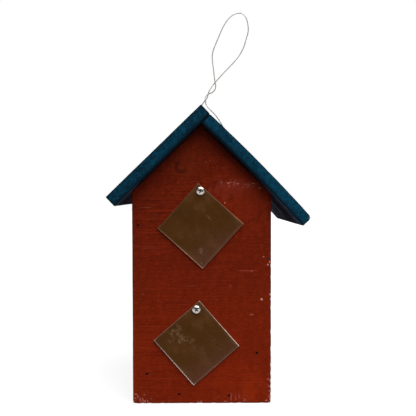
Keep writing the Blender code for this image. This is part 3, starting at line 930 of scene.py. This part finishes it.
def build_panels(cutters, front_finish, finish):
    """Front and back gables. The front has its real chips listed one by one and the rest at random."""
    radius = 0.35 * MM
    for name, front in (("front_panel", True), ("back_panel", False)):
        low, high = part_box(name)
        outer = 0 if front else 1
        painted = ((0, 0), (0, 1), (1, outer), (2, 0))
        seed = 3 if front else 8
        board = Board(name, low, high, place_wall, unplace_wall, (0, 1, 2), painted, seed)
        y = low.y if front else high.y
        edges = [((high.x, y, 0), 2), ((0, y, 0), 0)]
        if front:
            add_front_chips(board, low, high)
        else:
            edges.append(((low.x, y, 0), 2))
        board.add_chips(edges, 14, 1.2 * MM, 0.5 * MM)
        fine, middle, rows = (0.9, 2.6, 1.5) if front else (1.5, 4, 3)
        grids = board.grids(radius, (fine, 7, middle), (2.4, 3, 2.4), (fine, 7, rows))
        beside_peak = [x for x in grids[0] if abs(x - PEAK_X) > 0.9 * MM]
        grids[0] = sorted(beside_peak + [PEAK_X])
        paint = front_finish if front else finish
        item, _ = board.build(grids, radius, paint, cutters[name], 0.1, 0.06, 0.09)
        show(item, "house", "red_paint", name)


def add_front_chips(board, low, high):
    """The larger chips on the front panel's right arris and foot, and its rounded bottom corners."""
    for z, half_z, half_x, depth in (
        (148.6, 1.1, 2.6, 0.9), (142.8, 1.2, 1.3, 0.5), (131, 2.5, 0.9, 0.4), (98, 3, 0.8, 0.4),
        (74, 3.2, 0.9, 0.5), (52.5, 2.4, 0.9, 0.5), (41, 3, 1, 0.5), (30.5, 2.2, 1, 0.6),
        (22, 2.6, 1.3, 0.8), (13, 2.4, 1.2, 0.7), (5, 2.8, 1.4, 0.8), (188, 2.4, 0.8, 0.4),
    ):
        board.add_chip((high.x, low.y, z * MM), (half_x, 1.4, half_z), depth)
    for x, half_x, half_z, depth in (
        (-68.5, 2, 1.2, 0.5), (-61, 2.4, 1.6, 0.5), (-54, 2.2, 1.2, 0.5), (-2, 3, 0.9, 0.4),
        (31, 1.2, 1.6, 0.4), (37.5, 1.2, 1.3, 0.4), (62, 2.6, 0.9, 0.4),
    ):
        board.add_chip((x * MM, low.y, 0), (half_x, 1.4, half_z), depth)
    for x in (low.x, high.x):
        board.add_chip((x, low.y, 0), (2.6, 20, 2.6), 1.1)


def build_walls(cutters, finish, bare):
    """Sides, floor and the divider between the two rooms."""
    radius = 0.8 * MM
    for seed, (name, outer) in enumerate((("left_side", 0), ("right_side", 1)), 12):
        low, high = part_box(name)
        high.z = PEAK_TOP
        painted = ((0, outer), (2, 0))
        board = Board(name, low, high, place_wall, unplace_wall, (1, 0, 2), painted, seed)
        x = high.x if outer else low.x
        edges = [((x, y, 0), 2) for y in (low.y, high.y)]
        board.add_chips(edges + [((x, 0, 0), 1)], 22, 1.5 * MM, 0.7 * MM)
        grids = board.grids(radius, (2, 3, 4), (1.6, 5, 4), (1.6, 5, 3))
        item, _ = board.build(grids, radius, finish, cutters[name], 0.1, 0.06, 0.2)
        show(item, "house", "red_paint", name)
    for name, painted, material, slot, seed in (
        ("floor_board", ((2, 0),), finish, "red_paint", 17),
        ("room_divider", (), bare, "bare_wood", 19),
    ):
        low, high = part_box(name)
        board = Board(name, low, high, same, same, (0, 2, 1), painted, seed)
        grids = board.grids(radius, (2, 4, 5), (2, 4, 5), (2, 3, 4))
        item, _ = board.build(grids, radius, material, cutters[name], 0.1, 0.06, 0.15)
        show(item, "house", slot, name)


def build_roof(cutters):
    """The straight left board and the cupped right board, end grain to the front."""
    radius = 1.0 * MM
    low_y, high_y = (corner.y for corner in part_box("roof_left"))
    for name, start, run, thick, place, unplace, seed, lift in (
        ("roof_left", -RIDGE_OVERLAP, LEFT_RUN, LEFT_THICKNESS, place_left, unplace_left, 23, 0.05),
        ("roof_right", 0, RIGHT_RUN, RIGHT_THICKNESS, place_right, unplace_right, 29, 0.6),
    ):
        low = (start, low_y, 0)
        high = (run, high_y, thick)
        painted = [(axis, side) for axis in range(3) for side in (0, 1)]
        board = Board(name, low, high, place, unplace, (0, 2, 1), painted, seed)
        edges = []
        for q in (0, thick):
            edges += [((0, y, q), 0) for y in (low_y, high_y)]
            edges.append(((run, 0, q), 1))
        edges += [((run, y, 0), 2) for y in (low_y, high_y)]
        board.add_chips(edges, 10, 1.2 * MM, 0.5 * MM)
        if name == "roof_right":
            board.add_chip((TOP_CHIP_RUN, low_y, thick), (2.2, 1, 1), 0.8)
            board.add_chip((run, (low_y + high_y) / 2, thick), (3, 500, 3), 1.1)     # worn eave
        grids = board.grids(radius, (1.5, 5, 2.2), (1.0, 5, 3.2), (1.6, 4, 1.8))
        finish = blue_paint("blue_paint_" + name, lift)
        item, flat = board.build(grids, radius, finish, cutters[name], 0.14, 0.03, 0.35)
        ends = np.minimum(flat[:, 1] - low_y, high_y - flat[:, 1])
        end = np.clip(1.6 - ends / (0.8 * MM), 0, 1)
        show(item, "house", "blue_paint", name, rise=flat[:, 2], end=end)


def build_cover(name, screw, finish):
    """Square plate hanging by one corner, its cut edges slightly uneven."""
    low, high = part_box(name)
    centre = (low + high) / 2
    half = COVER_SIDE / 2
    turn = COVER_CORNER_UP + COVER_LEAN[name]
    radius = 0.38 * MM
    box_low = np.array((-half, low.y, -half))
    box_high = np.array((half, high.y, half))
    side = nodes(-half, half, radius, 1.0 * MM, 3 * MM, 3.5 * MM)
    points, quads = box_grid((side, nodes(low.y, high.y, radius, 0.5 * MM, 0.6 * MM, 0.6 * MM), side))
    points, out = round_off(points, box_low, box_high, radius)
    seed = 31 if name == "upper_cover" else 37
    wobble = smooth_noise(points, (70, 70, 70), seed) * 0.05 * MM
    nicks = np.clip(smooth_noise(points, (420, 420, 420), seed + 1) - 0.25, 0, 1) * 0.25 * MM
    edge = np.max(np.abs(points[:, (0, 2)]), axis=1) > half - 0.8 * MM
    points = points + out * (wobble - 0.05 * MM - np.where(edge, nicks, 0))[:, None]
    p, y, q = points.T
    x = centre.x + p * cos(turn) - q * sin(turn)
    z = centre.z + p * sin(turn) + q * cos(turn)
    item = make_object(name + "_plate", columns(x, y, z), quads, finish)
    head = axis_of(screw)[0]
    bore = SCREW_RADIUS + GAP
    lead = 3 * MM
    depth = high.y - low.y
    ease = 0.25 * MM
    mouth = [(0, -lead), (bore + ease, -lead), (bore + ease, 0), (bore, ease)]
    profile = mouth + [(r, depth - h) for r, h in reversed(mouth)]
    cut(item, [turned(profile, along((head.x, low.y, head.z), (0, 1, 0)), 32)])
    spots = vertices(item)
    x = spots[:, 0] - centre.x
    z = spots[:, 2] - centre.z
    p = x * cos(turn) + z * sin(turn)
    q = z * cos(turn) - x * sin(turn)
    edge = np.clip(half - np.maximum(np.abs(p), np.abs(q)), 0, 1)
    hole = np.abs(np.hypot(spots[:, 0] - head.x, spots[:, 2] - head.z) - bore)
    arris = np.minimum(edge, hole + 0.2 * MM)
    show(item, name, "brown_plate", name, board=columns(p, spots[:, 1], q), arris=arris)


def thread(height, angle):
    """Helical thread of the screw: how far its surface stands below the major radius."""
    pitch = 1.5 * MM
    depth = 0.5 * MM
    if height < SCREW_HEAD_HEIGHT + SCREW_PLAIN_SHANK or height > SCREW_THREAD_END:
        return 0
    turn = (height / pitch - angle / (2 * pi)) % 1
    return -depth * min(1, abs(turn - 0.5) * 3)


def cross_cutter(place, turn):
    """Tapered cross recess."""
    spin = place @ Matrix.Rotation(turn, 4, "Z")
    levels = ((-0.6, 2.35, 0.64), (0.35, 2.2, 0.58), (1.3, 1.4, 0.48), (1.9, 0.75, 0.4))
    rings = []
    for height, span, width in levels:
        ring = []
        for i in range(4):
            quarter = Matrix.Rotation(pi / 2 * i, 2)
            for corner in ((span, -width), (span, width), (width, width)):
                spot = quarter @ Vector(corner)
                ring.append(spin @ Vector((spot.x * MM, spot.y * MM, height * MM)))
        rings.append(ring)
    return skinned(rings)


def build_screw(name, finish):
    """Pan-head screw: its head end is the top of the dome."""
    head, direction, length = axis_of(name)
    place = along(head, direction)
    rim_depth = SCREW_HEAD_HEIGHT
    neck_end = rim_depth + 0.15 * MM
    dome = SCREW_DOME_HEIGHT
    profile = [(0, 0)]
    for i in range(1, 11):
        angle = pi / 2 * i / 10
        profile.append((SCREW_HEAD_RADIUS * sin(angle), dome * (1 - cos(angle))))
    profile += [
        (SCREW_HEAD_RADIUS, rim_depth - 0.25 * MM),
        (SCREW_HEAD_RADIUS - 0.08 * MM, rim_depth - 0.08 * MM),
        (SCREW_HEAD_RADIUS - 0.25 * MM, rim_depth),
        (SCREW_RADIUS + 0.15 * MM, rim_depth),
        (SCREW_RADIUS, neck_end),
    ]
    rings = 60
    shank_end = length - 3.6 * MM
    for i in range(1, rings + 1):
        profile.append((SCREW_RADIUS, neck_end + (shank_end - neck_end) * i / rings))
    profile += [(1.4 * MM, length - 2.2 * MM), (0.6 * MM, length - 0.8 * MM), (0, length)]
    points, faces = turned(profile, place, 40, thread)
    item = make_object(name + "_turned", points, faces, finish)
    cut(item, [cross_cutter(place, SCREW_TURN[name])])
    spots = vertices(item)
    local = np.array([place.inverted() @ Vector(s) for s in spots])
    radial = np.hypot(local[:, 0], local[:, 1])
    ratio = np.clip(radial / SCREW_HEAD_RADIUS, 0, 1)
    surface = dome * (1 - np.sqrt(1 - ratio ** 2))
    below = np.where(radial < 2.6 * MM, local[:, 2] - surface, 0)
    show(item, "house", "zinc_screw", name, board=spots, depth=np.clip(below, 0, 1))


def build_nail(name, finish):
    """Finishing nail: dimpled head, conical neck, shank with gripping grooves and a point."""
    head, direction, length = axis_of(name)
    wide = NAIL_HEAD_RADIUS
    profile = [(0, 0.25 * MM), (0.35 * wide, 0.2 * MM), (0.6 * wide, 0.05 * MM), (0.9 * wide, 0)]
    profile += [(wide, 0.15 * MM), (0.97 * wide, 0.35 * MM), (NAIL_RADIUS, 0.9 * MM)]
    for i in range(4):
        groove = (1.6 + 0.9 * i) * MM
        profile += [
            (NAIL_RADIUS, groove),
            (NAIL_RADIUS - 0.1 * MM, groove + 0.2 * MM),
            (NAIL_RADIUS, groove + 0.4 * MM),
        ]
    profile += [(NAIL_RADIUS, length - 3 * MM), (0.45 * MM, length - 1.2 * MM), (0, length)]
    points, faces = turned(profile, along(head, direction), 14)
    item = make_object(name + "_drawn", points, faces, finish)
    spots = vertices(item)
    inward = (spots - np.array(head)) @ np.array(direction)
    show(item, "house", "nail_steel", name, board=spots, depth=np.clip(inward - 1 * MM, 0, 1))


# Route of the hanger wire in millimetres, from its left end inside the roof to its right end.
# Its legs straddle the ridge, twist one and a half turns, and open into the hanging loop.
WIRE_ROUTE = (
    (-46, 0, 239.4), (-40, 0, 245.1), (-35.4, 0, 249.6), (-33.2, 0, 253.4),
    (-33, 0, 259), (-33, 0, 269), (-32.6, 0, 275.6), (-28.8, 0, 284.2),
    (-21.5, 0, 293.6), (-12.5, 0, 303.6), (-5.5, 0, 310.9), (0.1, -0.3, 316.7),
    (3.2, -0.9, 320.8), (4.9, -1.3, 323.2), (5, 0, 326.4), (8.4, 1.3, 330.3),
    (13, 0.7, 332.3), (16.2, 0, 335.5), (16.9, -0.7, 339.8), (16.1, -1.3, 343.9),
    (14.4, -0.7, 358), (13, 0, 372.8), (14, 0, 379.2), (19.1, 0, 392),
    (26.8, 0, 408.9), (33.8, 0, 417.9), (40.2, 0, 421.6), (46.6, 0, 421.9),
    (51, 0, 418.2), (53.6, 0, 411.1), (54.3, 0, 402), (52.2, 0, 393.5),
    (49, 0, 383.4), (44.3, 0, 374.4), (36.6, 0, 365.1), (25.4, 0.5, 353.6),
    (16.5, 1.3, 343.8), (12, 0.3, 338), (8.8, -1.3, 331.9), (7.5, 0, 326.8),
    (5.3, 1.3, 322.9), (5.4, 0.8, 319.6), (7.4, 0.2, 315.5), (10.6, 0, 312.3),
    (14.4, 0, 308.5), (17.4, 0, 305.1), (22.3, 0, 298), (26.9, 0, 290),
    (30.8, 0, 281.6), (32.7, 0, 274.6), (33, 0, 268), (33, 0, 259),
    (33.3, 0, 253.6), (35.6, 0, 249.6), (40.4, 0, 245), (46.5, 0, 239.2),
)


def smooth_route(points, samples):
    """Centripetal Catmull-Rom curve through the route's points."""
    route = [Vector(p) * MM for p in points]
    ends = [2 * route[0] - route[1]] + route + [2 * route[-1] - route[-2]]
    curve = [route[0]]
    for a, b, c, d in zip(ends, ends[1:], ends[2:], ends[3:]):
        ab, bc, cd = (sqrt((q - p).length) for p, q in ((a, b), (b, c), (c, d)))
        leave = ((b - a) / ab - (c - a) / (ab + bc) + (c - b) / bc) * bc
        arrive = ((c - b) / bc - (d - b) / (bc + cd) + (d - c) / cd) * bc
        for i in range(1, samples + 1):
            t = i / samples
            curve.append(
                b * (2 * t ** 3 - 3 * t ** 2 + 1)
                + leave * (t ** 3 - 2 * t ** 2 + t)
                + c * (3 * t ** 2 - 2 * t ** 3)
                + arrive * (t ** 3 - t ** 2)
            )
    return curve


def build_wire(finish):
    """A tube of drawn wire along the route, its cut ends pinched by the cutters."""
    curve = smooth_route(WIRE_ROUTE, 6)
    sides = 12
    rings = []
    normal = Vector((0, 1, 0))
    last = len(curve) - 1
    for i, centre in enumerate(curve):
        ahead = (curve[min(i + 1, last)] - curve[max(i - 1, 0)]).normalized()
        normal = (normal - ahead * normal.dot(ahead)).normalized()
        across = ahead.cross(normal)
        radius = WIRE_RADIUS * (1 + 0.05 * noise.noise(centre * 400))
        if i in (0, last):
            radius *= 0.6
        ring = []
        for j in range(sides):
            angle = 2 * pi * j / sides
            ring.append(centre + radius * (cos(angle) * normal + sin(angle) * across))
        rings.append(ring)
    item = make_object("hanger_wire_drawn", *skinned(rings), finish, 60)
    spots = vertices(item)
    show(item, "house", "galvanised_wire", "hanger_wire", board=spots, depth=np.zeros(len(spots)))


# ---------------------------------------------------------------- studio

def build_world(scene):
    """White to the camera, and as light a dim surround that is brighter overhead."""
    scene.world = bpy.data.worlds.new("studio")
    g = Graph(scene.world, "Background")
    g.feed(g.shader.inputs["Color"], (1, 1, 1, 1))
    g.feed(g.shader.inputs["Strength"], 1.0)
    rise = g.add("TexCoord", {}, "Generated").part(2)
    reach = {"Value": rise, "From Min": -0.3, "To Min": SURROUND_BELOW, "To Max": SURROUND_ABOVE}
    lit = g.add("Background", {"Strength": g.add("MapRange", reach, "Result")})
    seen = Value(g, g.shader.outputs[0])
    to_camera = g.add("LightPath", {}, "Is Camera Ray")
    surround = g.add("MixShader", {0: to_camera, 1: lit, 2: seen})
    g.feed(g.tree.nodes["World Output"].inputs["Surface"], surround)


def build_key(scene):
    """One very broad soft light, high on the right in front."""
    sun = bpy.data.lights.new("key", "SUN")
    sun.energy = KEY_STRENGTH
    sun.angle = KEY_SPREAD
    key = bpy.data.objects.new("key", sun)
    towards = Vector((
        sin(KEY_AZIMUTH) * cos(KEY_ELEVATION),
        -cos(KEY_AZIMUTH) * cos(KEY_ELEVATION),
        sin(KEY_ELEVATION),
    ))
    key.rotation_euler = towards.to_track_quat("Z", "Y").to_euler()
    scene.collection.objects.link(key)


def build_floor(scene):
    """A wide pale floor, seen from above only, that glows enough to meet the surround without a line."""
    bm = bmesh.new()
    bmesh.ops.create_circle(bm, cap_ends=True, radius=FLOOR_RADIUS, segments=96)
    mesh = bpy.data.meshes.new("floor")
    bm.to_mesh(mesh)
    bm.free()
    floor = bpy.data.objects.new("floor", mesh)
    scene.collection.objects.link(floor)
    g = material_graph("floor")
    g.colour = (0.3, 0.3, 0.3, 1)
    mesh.materials.append(g.finish(0.9, specular=0.0))
    g.feed(g.shader.inputs["Emission Color"], (1, 1, 1, 1))
    g.feed(g.shader.inputs["Emission Strength"], FLOOR_GLOW)
    below = g.add("NewGeometry", {}, "Backfacing")
    g.feed(g.shader.inputs["Alpha"], below * -1 + 1)
    floor.visible_diffuse = False
    floor.location.z = -FLOOR_DROP


def build_studio():
    scene = bpy.context.scene
    scene.view_settings.view_transform = "Standard"
    build_world(scene)
    build_key(scene)
    build_floor(scene)


def build_camera():
    camera = bpy.data.cameras.new("camera")
    camera.lens = CAMERA_LENS
    camera.sensor_width = CAMERA_SENSOR
    camera.shift_x, camera.shift_y = CAMERA_SHIFT
    camera.clip_start = 10 * MM
    item = bpy.data.objects.new("camera", camera)
    turn = Matrix.Rotation(CAMERA_YAW, 4, "Z") @ Matrix.Rotation(CAMERA_PITCH, 4, "X")
    turn = turn @ Matrix.Rotation(CAMERA_ROLL, 4, "Y") @ Matrix.Rotation(pi / 2, 4, "X")
    item.matrix_world = Matrix.Translation(CAMERA_PLACE) @ turn
    bpy.context.scene.collection.objects.link(item)
    bpy.context.scene.camera = item


build_studio()
build_camera()

bores = gather_cutters()
side_red = red_paint("red_paint")
build_panels(bores, red_paint("front_red_paint", front=True), side_red)
build_walls(bores, side_red, plain_softwood("bare_softwood"))
build_roof(bores)

# Each plate's smears, and the colour of its bright edge line: worn metal and painted highlight
for cover, screw, smears, edge_wear_and_highlight in (
    ("upper_cover", "upper_screw", UPPER_SMEARS, tone(176, 134, 104)),
    ("lower_cover", "lower_screw", LOWER_SMEARS, tone(222, 202, 188)),
):
    coating = brown_plate("brown_" + cover, COVER_LEAN[cover], smears, edge_wear_and_highlight)
    build_cover(cover, screw, coating)

# Each metal's light, dark and stained colours, and its least and greatest roughness
zinc = plated_metal("zinc", (194, 188, 180), (146, 139, 130), (104, 95, 84), 0.12, 0.26, dirt=0.85)
steel = plated_metal("nail_steel", (34, 26, 24), (16, 11, 10), (70, 36, 24), 0.5, 0.75)
filled = plated_metal("filled_nail", (210, 160, 144), (176, 126, 112), (110, 60, 50), 0.4, 0.6)
painted = plated_metal("painted_nail", (150, 78, 62), (96, 30, 18), (70, 22, 12), 0.5, 0.7)
galvanised = plated_metal(
    "galvanised", (176, 175, 170), (148, 146, 140), (122, 119, 112), 0.4, 0.6, relief=0.004,
)
NAIL_HEADS = {"front_nail_4": filled, "front_nail_2": painted}
for screw in SCREWS:
    build_screw(screw, zinc)
for nail in NAILS:
    build_nail(nail, NAIL_HEADS.get(nail, steel))
build_wire(galvanised)
